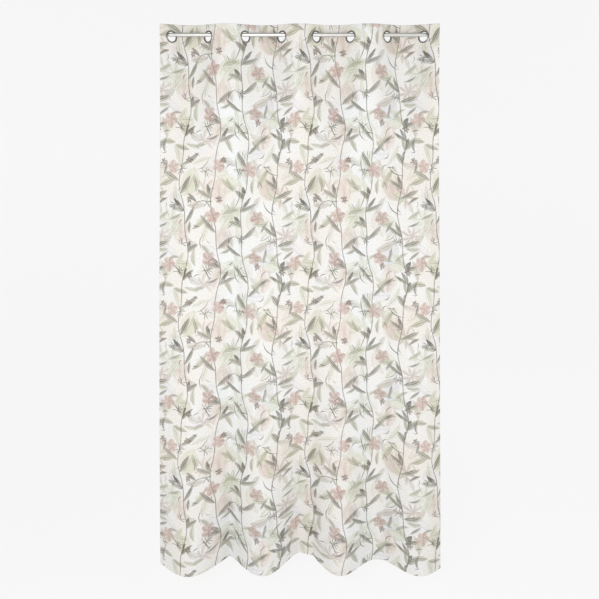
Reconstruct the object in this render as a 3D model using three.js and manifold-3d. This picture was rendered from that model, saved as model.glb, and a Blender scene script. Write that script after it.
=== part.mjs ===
// A printed eyelet curtain spread out on the rod that it hangs from.
// Millimetres, +Z up. The origin is the middle of the rod's axis, the rod runs along X,
// and the printed face of the cloth looks towards -Y.
import * as THREE from 'three';
import { mergeVertices } from 'three/addons/utils/BufferGeometryUtils.js';
import Module from 'manifold-3d';

const wasm = await Module();
wasm.setup();

// Rod
const rodLength = 1188;
const rodRadius = 8;
const rodChamfer = 1;
const rodSides = 32;

// Cloth as it hangs: widths are from side edge to side edge, as seen from the front
const drop = 2500;
const topRise = 43;
const headerWidth = 1204;
const hemWidth = 1340;
const clothThickness = 1.6;
const foldedThickness = 2.6;
const headingHeight = 110;
const bottomHem = 80;
const sideHem = 18;
const hemStep = 4;
const gap = 0.3;

// Eyelets: two pressed flanges joined by a neck, centred a little below the rod's axis
const eyeletBore = 20;
const eyeletNeck = 21.6;
const eyeletFlange = 26.5;
const flangeThickness = 1;
const flangeCrown = 0.8;
const eyeletDrop = 8.2;
const eyeletSides = 24;

// Waves of the heading: the cloth crosses the rod's axis at each eyelet on a straight flank
const flankSlope = 0.8;
const flankReach = 22;
const marginWave = 160;
const headerFadeEnd = -680;

// Where the folds of the body reach their middle depth, and where they start to swell to the hem
const foldsStart = -110;
const foldsFull = -820;
const swellStart = -900;
const swellPower = 1.9;

// How much wider the cloth lies once the waves of the heading have run out, as a share
const bodyEase = 0.012;

// The eyelets, from left to right
const eyelets = [
  { name: 'eyelet_1', x: -558 },
  { name: 'eyelet_2', x: -398 },
  { name: 'eyelet_3', x: -236 },
  { name: 'eyelet_4', x: -77 },
  { name: 'eyelet_5', x: 73 },
  { name: 'eyelet_6', x: 223 },
  { name: 'eyelet_7', x: 383 },
  { name: 'eyelet_8', x: 541 },
];

// Folds of the body. x: place across the header. middle, hem: depth, + to the back.
// pinch: 1 where the fold's back is a sharp valley, 0 where it is round.
// lift: how far the hem is drawn up there.
const folds = [
  { x: -602, middle: 8, hem: 20, pinch: 1, lift: 6 },
  { x: -469, middle: -22, hem: -76, pinch: 0, lift: -9 },
  { x: -304, middle: 20, hem: 70, pinch: 0.9, lift: 16 },
  { x: -152, middle: -18, hem: -72, pinch: 0, lift: -9 },
  { x: 0, middle: 18, hem: 82, pinch: 0.4, lift: 24 },
  { x: 58, middle: 12, hem: 66, pinch: 1, lift: 18 },
  { x: 172, middle: -21, hem: -74, pinch: 0, lift: -6 },
  { x: 334, middle: 17, hem: 46, pinch: 0, lift: 8 },
  { x: 507, middle: -20, hem: -76, pinch: 0, lift: -6 },
  { x: 602, middle: 6, hem: -22, pinch: 1, lift: 3 },
];

// Soft upright troughs pressed into the body. x: place across the header. depth: to the back.
const troughs = [
  { x: -264, halfWidth: 24, depth: 5 },
  { x: 64, halfWidth: 22, depth: 4 },
  { x: 373, halfWidth: 26, depth: 6 },
];

// Steps of the cloth's mesh
const crestSteps = 6;
const marginSteps = 1;
const rowBands = [
  { to: -520, steps: 8 },
  { to: -1700, steps: 9 },
];
const lowerSteps = 9;

const hemZ = topRise - drop;
const headingFoot = topRise - headingHeight;
const bodyTop = headingFoot - gap;

const clamp01 = (value) => Math.min(1, Math.max(0, value));
const smooth = (value) => clamp01(value) ** 2 * (3 - 2 * clamp01(value));
const mix = (a, b, share) => a + (b - a) * share;

// The two half waves beside each eyelet, each with its crest in front of or behind the rod
const halfWaves = [
  { from: eyelets[0].x - marginWave, to: eyelets[0].x, side: -1 },
  ...eyelets.slice(1).map((eyelet, index) => ({
    from: eyelets[index].x,
    to: eyelet.x,
    side: index % 2 === 0 ? 1 : -1,
  })),
  { from: eyelets.at(-1).x, to: eyelets.at(-1).x + marginWave, side: -1 },
];

// Depth of the heading at a place across it: straight flanks through the eyelets, round crests
function headerDepth(x) {
  const wave = halfWaves.find((half) => x <= half.to) ?? halfWaves.at(-1);
  const halfLength = (wave.to - wave.from) / 2;
  const fromCrest = Math.abs(x - (wave.from + wave.to) / 2);
  const roundReach = halfLength - flankReach;
  if (fromCrest >= roundReach) {
    return wave.side * flankSlope * (halfLength - fromCrest);
  }
  const crest = flankSlope * (flankReach + roundReach / 2);
  return wave.side * (crest - (flankSlope / (2 * roundReach)) * fromCrest ** 2);
}

// A column of the fold table at a place across the header, with round fronts and pinched backs
function alongFolds(x, column) {
  const place = Math.min(folds.at(-1).x, Math.max(folds[0].x, x));
  const index = Math.max(1, folds.findIndex((fold) => place <= fold.x));
  const [left, right] = [folds[index - 1], folds[index]];
  const share = (place - left.x) / (right.x - left.x);
  const back = left.hem > right.hem ? left : right;
  const front = back === left ? right : left;
  const fromBack = back === left ? share : 1 - share;
  const roundShape = (1 - Math.cos(Math.PI * fromBack)) / 2;
  const pinchedShape = Math.sin((Math.PI / 2) * fromBack);
  return mix(back[column], front[column], mix(roundShape, pinchedShape, back.pinch));
}

// How far the body has swollen from its middle folds, at the heading, to its hem folds
const swell = (z) => clamp01((swellStart - z) / (swellStart - hemZ)) ** swellPower;

function troughDepth(x) {
  return troughs.reduce((sum, trough) => {
    const near = clamp01(1 - Math.abs(x - trough.x) / trough.halfWidth);
    return sum + trough.depth * smooth(near);
  }, 0);
}

// How far the waves of the heading still reach, and how far the folds of the body have begun
const headerShare = (z) => smooth((z - headerFadeEnd) / (headingFoot - headerFadeEnd));
const bodyShare = (z) => smooth((foldsStart - z) / (foldsStart - foldsFull));

function clothDepth(x, z) {
  const fold = mix(alongFolds(x, 'middle'), alongFolds(x, 'hem'), swell(z));
  return headerShare(z) * headerDepth(x) + bodyShare(z) * (fold + troughDepth(x));
}

// A point of the cloth's middle surface, from its place across the header and its height
function clothPoint(x, z) {
  const down = clamp01((headingFoot - z) / (headingFoot - hemZ));
  const ease = bodyEase * bodyShare(z) * (1 - swell(z));
  const spread = mix(1, hemWidth / headerWidth, down) + ease;
  return new THREE.Vector3(x * spread, clothDepth(x, z), z + alongFolds(x, 'lift') * swell(z));
}

// The cloth's direction to the back, at right angles to its surface
function backward(x, z) {
  const step = 0.5;
  const across = clothPoint(x + step, z).sub(clothPoint(x - step, z));
  const up = clothPoint(x, z + step).sub(clothPoint(x, z - step));
  return up.cross(across).normalize();
}

function steps(from, to, count) {
  return Array.from({ length: count }, (_, index) => mix(from, to, (index + 1) / count));
}

// Places across the header where the cloth's mesh has a column
function clothColumns() {
  const edge = headerWidth / 2;
  const inner = edge - sideHem;
  const columns = [-edge, -inner];
  let count = marginSteps;
  for (const { x } of eyelets) {
    columns.push(...steps(columns.at(-1), x - flankReach, count), x, x + flankReach);
    count = crestSteps;
  }
  columns.push(inner - hemStep, inner, edge);
  return columns;
}

// Heights where the body's mesh has a row, from the heading down to the hem
function bodyRows() {
  const rows = [bodyTop];
  for (const band of rowBands) {
    rows.push(...steps(rows.at(-1), band.to, band.steps));
  }
  const hemTop = hemZ + bottomHem;
  rows.push(...steps(rows.at(-1), hemTop + hemStep, lowerSteps), hemTop, hemZ);
  return rows;
}

function bodyThickness(x, z) {
  const inSideHem = Math.abs(x) >= headerWidth / 2 - sideHem;
  const inBottomHem = z <= hemZ + bottomHem;
  return inSideHem || inBottomHem ? foldedThickness : clothThickness;
}

// A closed sheet: its front lies half a thickness before the middle surface, its back behind it
function sheetGeometry(columns, rows, thicknessAt) {
  const positions = [];
  for (const isBack of [false, true]) {
    for (const z of rows) {
      for (const x of columns) {
        const offset = isBack ? thicknessAt(x, z) - clothThickness / 2 : -clothThickness / 2;
        positions.push(...clothPoint(x, z).addScaledVector(backward(x, z), offset));
      }
    }
  }
  const wide = columns.length;
  const tall = rows.length;
  const layer = wide * tall;
  const indices = [];
  const quad = (a, b, c, d) => indices.push(a, b, c, a, c, d);
  for (let row = 0; row + 1 < tall; row += 1) {
    for (let column = 0; column + 1 < wide; column += 1) {
      const corner = row * wide + column;
      quad(corner, corner + wide, corner + wide + 1, corner + 1);
      quad(layer + corner, layer + corner + 1, layer + corner + wide + 1, layer + corner + wide);
    }
    const left = row * wide;
    const right = left + wide - 1;
    quad(left, left + layer, left + layer + wide, left + wide);
    quad(right, right + wide, right + wide + layer, right + layer);
  }
  for (let column = 0; column + 1 < wide; column += 1) {
    const foot = layer - wide + column;
    quad(column, column + 1, column + 1 + layer, column + layer);
    quad(foot, foot + layer, foot + 1 + layer, foot + 1);
  }
  const geometry = new THREE.BufferGeometry();
  geometry.setAttribute('position', new THREE.Float32BufferAttribute(positions, 3));
  geometry.setIndex(indices);
  return geometry;
}

function solidOf(geometry) {
  const bare = geometry.clone();
  bare.deleteAttribute('normal');
  bare.deleteAttribute('uv');
  const merged = mergeVertices(bare, 1e-4);
  return new wasm.Manifold(new wasm.Mesh({
    numProp: 3,
    vertProperties: new Float32Array(merged.attributes.position.array),
    triVerts: new Uint32Array(merged.index.array),
  }));
}

function geometryOf(solid) {
  const mesh = solid.getMesh();
  const geometry = new THREE.BufferGeometry();
  geometry.setAttribute('position', new THREE.Float32BufferAttribute(mesh.vertProperties, 3));
  geometry.setIndex([...mesh.triVerts]);
  return geometry;
}

// The turn about Z that lays an eyelet flat on the cloth's flank
const eyeletTurn = (index) => Math.atan(index % 2 === 0 ? flankSlope : -flankSlope);

function placeEyelet(object, index) {
  object.rotation.z = eyeletTurn(index);
  object.position.set(eyelets[index].x, 0, -eyeletDrop);
  object.updateMatrix();
  return object;
}

// The heading: the top of the cloth folded double, with a round hole for each eyelet
function headingGeometry() {
  const sheet = sheetGeometry(clothColumns(), [topRise, headingFoot], () => foldedThickness);
  const holeRadius = (eyeletNeck + gap) / Math.cos(Math.PI / eyeletSides);
  const punch = new THREE.CylinderGeometry(holeRadius, holeRadius, 4 * foldedThickness, eyeletSides);
  const punched = eyelets.reduce((cloth, _, index) => {
    const { matrix } = placeEyelet(new THREE.Object3D(), index);
    return cloth.subtract(solidOf(punch.clone().applyMatrix4(matrix)));
  }, solidOf(sheet));
  return geometryOf(punched);
}

// One eyelet about the Y axis: its front flange towards -Y, its back flange behind the cloth
function eyeletGeometry() {
  const front = -clothThickness / 2 - gap;
  const back = foldedThickness - clothThickness / 2 + gap;
  const crownRadius = mix(eyeletBore, eyeletFlange, 0.4);
  const edgeRadius = mix(eyeletBore, eyeletFlange, 0.82);
  const profile = [
    [eyeletBore, front - flangeThickness],
    [crownRadius, front - flangeThickness - flangeCrown],
    [edgeRadius, front - flangeThickness - flangeCrown / 2],
    [eyeletFlange, front - flangeThickness / 2],
    [eyeletFlange, front],
    [eyeletNeck, front],
    [eyeletNeck, back],
    [eyeletFlange, back],
    [eyeletFlange, back + flangeThickness / 2],
    [edgeRadius, back + flangeThickness + flangeCrown / 2],
    [crownRadius, back + flangeThickness + flangeCrown],
    [eyeletBore, back + flangeThickness],
    [eyeletBore, front - flangeThickness],
  ];
  return new THREE.LatheGeometry(profile.map(([r, y]) => new THREE.Vector2(r, y)), eyeletSides);
}

function rodGeometry() {
  const half = rodLength / 2;
  const profile = [
    [0, -half],
    [rodRadius - rodChamfer, -half],
    [rodRadius, -half + rodChamfer],
    [rodRadius, half - rodChamfer],
    [rodRadius - rodChamfer, half],
    [0, half],
  ];
  const points = profile.map(([r, y]) => new THREE.Vector2(r, y));
  return new THREE.LatheGeometry(points, rodSides).rotateZ(Math.PI / 2);
}

const clothMaterial = new THREE.MeshStandardMaterial({ color: 0xebe8df, roughness: 0.9, metalness: 0 });
const eyeletMaterial = new THREE.MeshStandardMaterial({ color: 0x8c8c8a, roughness: 0.3, metalness: 1 });
const rodMaterial = new THREE.MeshStandardMaterial({ color: 0xd6d6d2, roughness: 0.35, metalness: 1 });

function named(name, geometry, material) {
  const mesh = new THREE.Mesh(geometry, material);
  mesh.name = name;
  return mesh;
}

const group = new THREE.Group();
group.add(named('rod', rodGeometry(), rodMaterial));
group.add(named('heading', headingGeometry(), clothMaterial));
group.add(named('panel', sheetGeometry(clothColumns(), bodyRows(), bodyThickness), clothMaterial));
eyelets.forEach(({ name }, index) => {
  group.add(placeEyelet(named(name, eyeletGeometry(), eyeletMaterial), index));
});

export default group;
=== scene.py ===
"""A printed eyelet curtain, spread out on the plain round rod that it hangs from.

The rod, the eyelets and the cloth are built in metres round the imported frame. The cloth is one
sheet on the same table of folds as its solids, with turned hems and a printed face.
"""

import logging
import math
from collections.abc import Callable, Iterator
from contextlib import contextmanager
from dataclasses import dataclass, field
from enum import Enum

import bpy
import numpy as np
from mathutils import Matrix, Vector, noise


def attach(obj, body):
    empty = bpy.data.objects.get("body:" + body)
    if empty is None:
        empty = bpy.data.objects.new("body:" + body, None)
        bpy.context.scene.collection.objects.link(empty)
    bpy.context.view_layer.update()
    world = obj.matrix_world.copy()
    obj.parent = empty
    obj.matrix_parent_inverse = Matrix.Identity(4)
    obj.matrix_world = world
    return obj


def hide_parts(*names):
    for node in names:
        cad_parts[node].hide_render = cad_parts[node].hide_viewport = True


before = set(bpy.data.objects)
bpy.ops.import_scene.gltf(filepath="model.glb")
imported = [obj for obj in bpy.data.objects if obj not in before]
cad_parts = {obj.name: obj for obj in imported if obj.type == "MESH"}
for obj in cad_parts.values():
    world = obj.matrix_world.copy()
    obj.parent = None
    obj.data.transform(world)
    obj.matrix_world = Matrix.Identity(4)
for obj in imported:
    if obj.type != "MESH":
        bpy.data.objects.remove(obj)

log = logging.getLogger("curtain")

Array = np.ndarray
Material = bpy.types.Material
Piece = bpy.types.Object
Tree = bpy.types.NodeTree

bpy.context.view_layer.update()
BODY = "root"
MM = 0.001
WHITE = (1.0, 1.0, 1.0, 1.0)
PROBE = 0.5 * MM


class Slot(Enum):
    """The record's material slots."""

    CLOTH = "cloth"
    EYELET = "eyelet"
    ROD = "rod"


class Face(Enum):
    """The two sides of the cloth, numbered as their material slots on the mesh."""

    PRINTED = 0
    REVERSE = 1


class Port(Enum):
    """The kinds of socket that a node group has."""

    PLACE = "NodeSocketVector"
    NUMBER = "NodeSocketFloat"
    COLOUR = "NodeSocketColor"


@dataclass(frozen=True)
class Fold:
    """A row of the fold table, in metres.

    x is its place across the header, middle and hem are its depths towards the back, pinch is 1
    for a sharp valley and 0 for a round one, and lift is how far the hem is drawn up there.
    """

    x: float
    middle: float
    hem: float
    pinch: float
    lift: float


@dataclass(frozen=True)
class Trough:
    """A soft upright trough pressed into the cloth, in metres."""

    x: float
    half_width: float
    depth: float


FOLDS = (
    Fold(x=-0.602, middle=0.008, hem=0.020, pinch=1.0, lift=0.006),
    Fold(x=-0.469, middle=-0.022, hem=-0.076, pinch=0.0, lift=-0.009),
    Fold(x=-0.304, middle=0.020, hem=0.070, pinch=0.9, lift=0.016),
    Fold(x=-0.152, middle=-0.018, hem=-0.072, pinch=0.0, lift=-0.009),
    Fold(x=0.000, middle=0.018, hem=0.082, pinch=0.4, lift=0.024),
    Fold(x=0.058, middle=0.012, hem=0.066, pinch=1.0, lift=0.018),
    Fold(x=0.172, middle=-0.021, hem=-0.074, pinch=0.0, lift=-0.006),
    Fold(x=0.334, middle=0.017, hem=0.046, pinch=0.0, lift=0.008),
    Fold(x=0.507, middle=-0.020, hem=-0.076, pinch=0.0, lift=-0.006),
    Fold(x=0.602, middle=0.006, hem=-0.022, pinch=1.0, lift=0.003),
)
TROUGHS = (
    Trough(x=-0.264, half_width=0.024, depth=0.005),
    Trough(x=0.064, half_width=0.022, depth=0.004),
    Trough(x=0.373, half_width=0.026, depth=0.006),
)
EYELET_PLACES = (-0.558, -0.398, -0.236, -0.077, 0.073, 0.223, 0.383, 0.541)


def smooth(share: Array) -> Array:
    """Eases a share from 0 to 1."""
    held = np.clip(share, 0.0, 1.0)
    return held * held * (3.0 - 2.0 * held)


def mix(low: Array, high: Array, share: Array) -> Array:
    """Blends two values by a share."""
    return low + (high - low) * share


def run_on(marks: list, to: float, count: int) -> None:
    """Adds evenly spaced marks from the last one to a place."""
    marks += list(np.linspace(marks[-1], to, count + 1)[1:])


def linear(red: int, green: int, blue: int) -> tuple:
    """Turns a screen colour of 0 to 255 into the linear one that a shader takes.

    Args:
        red: The red part.
        green: The green part.
        blue: The blue part.

    Returns:
        The colour, opaque.
    """
    shares = [value / 255.0 for value in (red, green, blue)]
    bright = [s / 12.92 if s <= 0.04045 else ((s + 0.055) / 1.055) ** 2.4 for s in shares]
    return (*bright, 1.0)


def only(piece: Piece) -> None:
    """Selects one object and makes it the active one.

    Args:
        piece: The object.
    """
    bpy.ops.object.select_all(action="DESELECT")
    piece.select_set(True)
    bpy.context.view_layer.objects.active = piece


@contextmanager
def editing(piece: Piece) -> Iterator[None]:
    """Opens a piece in edit mode with all of it selected, and leaves edit mode at the end.

    Args:
        piece: The piece to edit.
    """
    only(piece)
    bpy.ops.object.mode_set(mode="EDIT")
    bpy.ops.mesh.select_all(action="SELECT")
    yield
    bpy.ops.object.mode_set(mode="OBJECT")


def pick_faces(piece: Piece, wanted: Callable[[bpy.types.MeshPolygon], bool]) -> None:
    """Selects faces of a piece that is being edited.

    Args:
        piece: The piece.
        wanted: Tells of a face whether it is to be selected.
    """
    bpy.ops.mesh.select_all(action="DESELECT")
    bpy.ops.object.mode_set(mode="OBJECT")
    for face in piece.data.polygons:
        face.select = wanted(face)
    bpy.ops.object.mode_set(mode="EDIT")


def spin_closed(steps: int, axis: tuple, gap: float, inward: bool = False) -> None:
    """Spins the selected outline full circle, and closes its seam and its poles.

    Args:
        steps: The number of steps round.
        axis: The axis through the origin.
        gap: How close points are that become one.
        inward: True where the faces point to the inside.
    """
    bpy.ops.mesh.spin(steps=steps, angle=math.tau, center=(0, 0, 0), axis=axis)
    bpy.ops.mesh.select_all(action="SELECT")
    bpy.ops.mesh.remove_doubles(threshold=gap)
    bpy.ops.mesh.normals_make_consistent(inside=inward)


def mesh_piece(name: str, points: Array, faces: list) -> Piece:
    """Makes an object from points and faces.

    Args:
        name: The piece's name.
        points: One row of three coordinates for each vertex, in metres.
        faces: The corner numbers of each face.

    Returns:
        The new object, at the origin.
    """
    mesh = bpy.data.meshes.new(name)
    mesh.from_pydata([tuple(point) for point in points], [], faces)
    mesh.update()
    piece = bpy.data.objects.new(name, mesh)
    bpy.context.scene.collection.objects.link(piece)
    return piece


class Wire:
    """A value between nodes. A sum that is written with it adds the node that does the sum."""

    def __init__(self, bench: "Bench", socket: bpy.types.NodeSocket) -> None:
        """Keeps the socket, and the bench that adds the nodes."""
        self.bench = bench
        self.socket = socket

    def __add__(self, other: object) -> "Wire":
        """Adds a number."""
        return self.bench.maths("ADD", self, other)

    def __sub__(self, other: object) -> "Wire":
        """Takes a number away."""
        return self.bench.maths("SUBTRACT", self, other)

    def __rsub__(self, other: object) -> "Wire":
        """Takes this value away from a number."""
        return self.bench.maths("SUBTRACT", other, self)

    def __mul__(self, other: object) -> "Wire":
        """Multiplies by a number."""
        return self.bench.maths("MULTIPLY", self, other)

    def __truediv__(self, other: object) -> "Wire":
        """Divides by a number."""
        return self.bench.maths("DIVIDE", self, other)

    def __pow__(self, other: object) -> "Wire":
        """Raises to a power."""
        return self.bench.maths("POWER", self, other)


class Bench:
    """Adds nodes to one tree and wires them, so that a finish reads as a list of its steps.

    Where a method takes an object, it is a wire, or a number, vector or colour to set.
    """

    def __init__(self, tree: Tree) -> None:
        """Keeps the tree to work on."""
        self.tree = tree

    def feed(self, socket: bpy.types.NodeSocket, value: object) -> None:
        """Wires a socket, or sets its own value.

        Args:
            socket: The input to feed.
            value: What it gets.
        """
        if isinstance(value, Wire):
            self.tree.links.new(value.socket, socket)
        else:
            socket.default_value = value

    def feed_named(self, node: bpy.types.Node, values: dict) -> None:
        """Feeds a node's inputs by name."""
        for name, value in values.items():
            self.feed(node.inputs[name], value)

    def add(self, kind: str, *values: object, **settings: object) -> bpy.types.Node:
        """Adds a node.

        Args:
            kind: Its type.
            values: What its first inputs get, in their order.
            settings: Its properties.

        Returns:
            The node.
        """
        node = self.tree.nodes.new(kind)
        for name, value in settings.items():
            setattr(node, name, value)
        for socket, value in zip(node.inputs, values):
            self.feed(socket, value)
        return node

    def maths(self, operation: str, *values: object, clamped: bool = False) -> Wire:
        """Adds a maths node, held from 0 to 1 where it is clamped, and gives its result."""
        node = self.add("ShaderNodeMath", *values, operation=operation, use_clamp=clamped)
        return Wire(self, node.outputs[0])

    def fused(self, value: object, factor: object, added: object, clamped: bool = False) -> Wire:
        """Multiplies by a factor and adds a number, in one node."""
        return self.maths("MULTIPLY_ADD", value, factor, added, clamped=clamped)

    def ratio(self, part: object, whole: object) -> Wire:
        """Divides two numbers, and holds the result from 0 to 1."""
        return self.maths("DIVIDE", part, whole, clamped=True)

    def vector(self, operation: str, *values: object) -> Wire:
        """Adds a vector maths node and gives its result, which is a number for a length."""
        node = self.add("ShaderNodeVectorMath", *values, operation=operation)
        return Wire(self, node.outputs["Value" if operation == "LENGTH" else "Vector"])

    def scaled(self, vector: Wire, factor: object) -> Wire:
        """Multiplies a vector by a number."""
        node = self.add("ShaderNodeVectorMath", vector, operation="SCALE")
        self.feed(node.inputs["Scale"], factor)
        return Wire(self, node.outputs[0])

    def turned(self, vector: Wire, angle: object) -> Wire:
        """Turns a place clockwise about Z by an angle."""
        node = self.add("ShaderNodeVectorRotate", vector, rotation_type="Z_AXIS", invert=True)
        self.feed(node.inputs["Angle"], angle)
        return Wire(self, node.outputs[0])

    def split(self, vector: Wire) -> list:
        """Gives a vector's three numbers."""
        node = self.add("ShaderNodeSeparateXYZ", vector)
        return [Wire(self, part) for part in node.outputs]

    def join(self, *parts: object) -> Wire:
        """Makes a vector of up to three numbers, with 0 for those that are left out."""
        return Wire(self, self.add("ShaderNodeCombineXYZ", *parts).outputs[0])

    def blend(self, sockets: tuple, values: tuple, **settings: object) -> bpy.types.Node:
        """Adds a mix node and feeds the inputs with those numbers."""
        node = self.add("ShaderNodeMix", **settings)
        for number, value in zip(sockets, values):
            self.feed(node.inputs[number], value)
        return node

    def between(self, low: object, high: object, share: object) -> Wire:
        """Blends two numbers by a share."""
        return Wire(self, self.blend((0, 2, 3), (share, low, high), data_type="FLOAT").outputs[0])

    def tint(self, below: object, above: object, share: object, how: str = "MIX") -> Wire:
        """Lays one colour over another by a share."""
        node = self.blend((0, 6, 7), (share, below, above), data_type="RGBA", blend_type=how)
        return Wire(self, node.outputs[2])

    def shaded(self, colour: Wire, shade: Wire) -> Wire:
        """Multiplies a colour by a number."""
        return self.tint(colour, self.join(shade, shade, shade), 1.0, "MULTIPLY")

    def chance(self, key: Wire) -> list:
        """Draws four random numbers for a key."""
        node = self.add("ShaderNodeTexWhiteNoise", key, noise_dimensions="3D")
        parts = self.add("ShaderNodeSeparateColor", Wire(self, node.outputs["Color"]))
        return [Wire(self, socket) for socket in (node.outputs["Value"], *parts.outputs)]

    def kept(self, draw: Wire, share: object) -> Wire:
        """Gives 1 for a share of the draws and 0 for the others, whatever else a draw decides."""
        reshuffle = 17.31
        return self.maths("LESS_THAN", self.maths("FRACT", draw * reshuffle), share)

    def soft_noise(self, vector: Wire, dimensions: str, **values: object) -> bpy.types.Node:
        """Adds a noise texture and feeds its inputs by name."""
        node = self.add("ShaderNodeTexNoise", vector, noise_dimensions=dimensions)
        self.feed_named(node, values)
        return node

    def grain(self, vector: Wire, scale: float, detail: float, dimensions: str = "2D") -> Wire:
        """Gives the value of soft noise, on a plane where no other dimensions are asked for."""
        node = self.soft_noise(vector, dimensions, Scale=scale, Detail=detail)
        return Wire(self, node.outputs["Fac"])

    def use(self, tree: Tree, **values: object) -> dict:
        """Adds a node group, feeds its inputs by name, and gives its outputs by name."""
        node = self.add("ShaderNodeGroup", node_tree=tree)
        self.feed_named(node, values)
        return {socket.name: Wire(self, socket) for socket in node.outputs}


# The sockets that aren't numbers, by name.
PORTS = dict.fromkeys(("Place", "Cells", "Stretch", "Local", "Shift"), Port.PLACE)
PORTS |= dict.fromkeys(("Below", "Pale", "Deep", "Ink", "Colour"), Port.COLOUR)


def named(names: str, values: tuple) -> dict:
    """Gives values their names, which are written with spaces between."""
    return dict(zip(names.split(), values))


def pick(values: dict, names: str) -> dict:
    """Picks values by their names, which are written with spaces between."""
    return {name: values[name] for name in names.split()}


class Group(Bench):
    """A shader node group with named inputs and outputs."""

    def __init__(self, name: str, inputs: str, outputs: str) -> None:
        """Makes the empty group.

        Args:
            name: The group's name.
            inputs: The names of its inputs, with spaces between.
            outputs: The names of its outputs.
        """
        super().__init__(bpy.data.node_groups.new(name, "ShaderNodeTree"))
        for way, labels in (("INPUT", inputs), ("OUTPUT", outputs)):
            for label in labels.split():
                kind = PORTS.get(label, Port.NUMBER).value
                self.tree.interface.new_socket(label, in_out=way, socket_type=kind)
        source = self.add("NodeGroupInput")
        self.inputs = {label: Wire(self, source.outputs[label]) for label in inputs.split()}
        self.sink = self.add("NodeGroupOutput")

    def given(self) -> list:
        """Gives the group's inputs in their order."""
        return list(self.inputs.values())

    def give(self, **values: object) -> Tree:
        """Feeds the group's outputs by name, and returns the finished tree."""
        self.feed_named(self.sink, values)
        return self.tree


SHADING = "Along Line Streak"
CELL_INPUTS = "Place Cells Seed Jitter Turn Spread"


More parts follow.
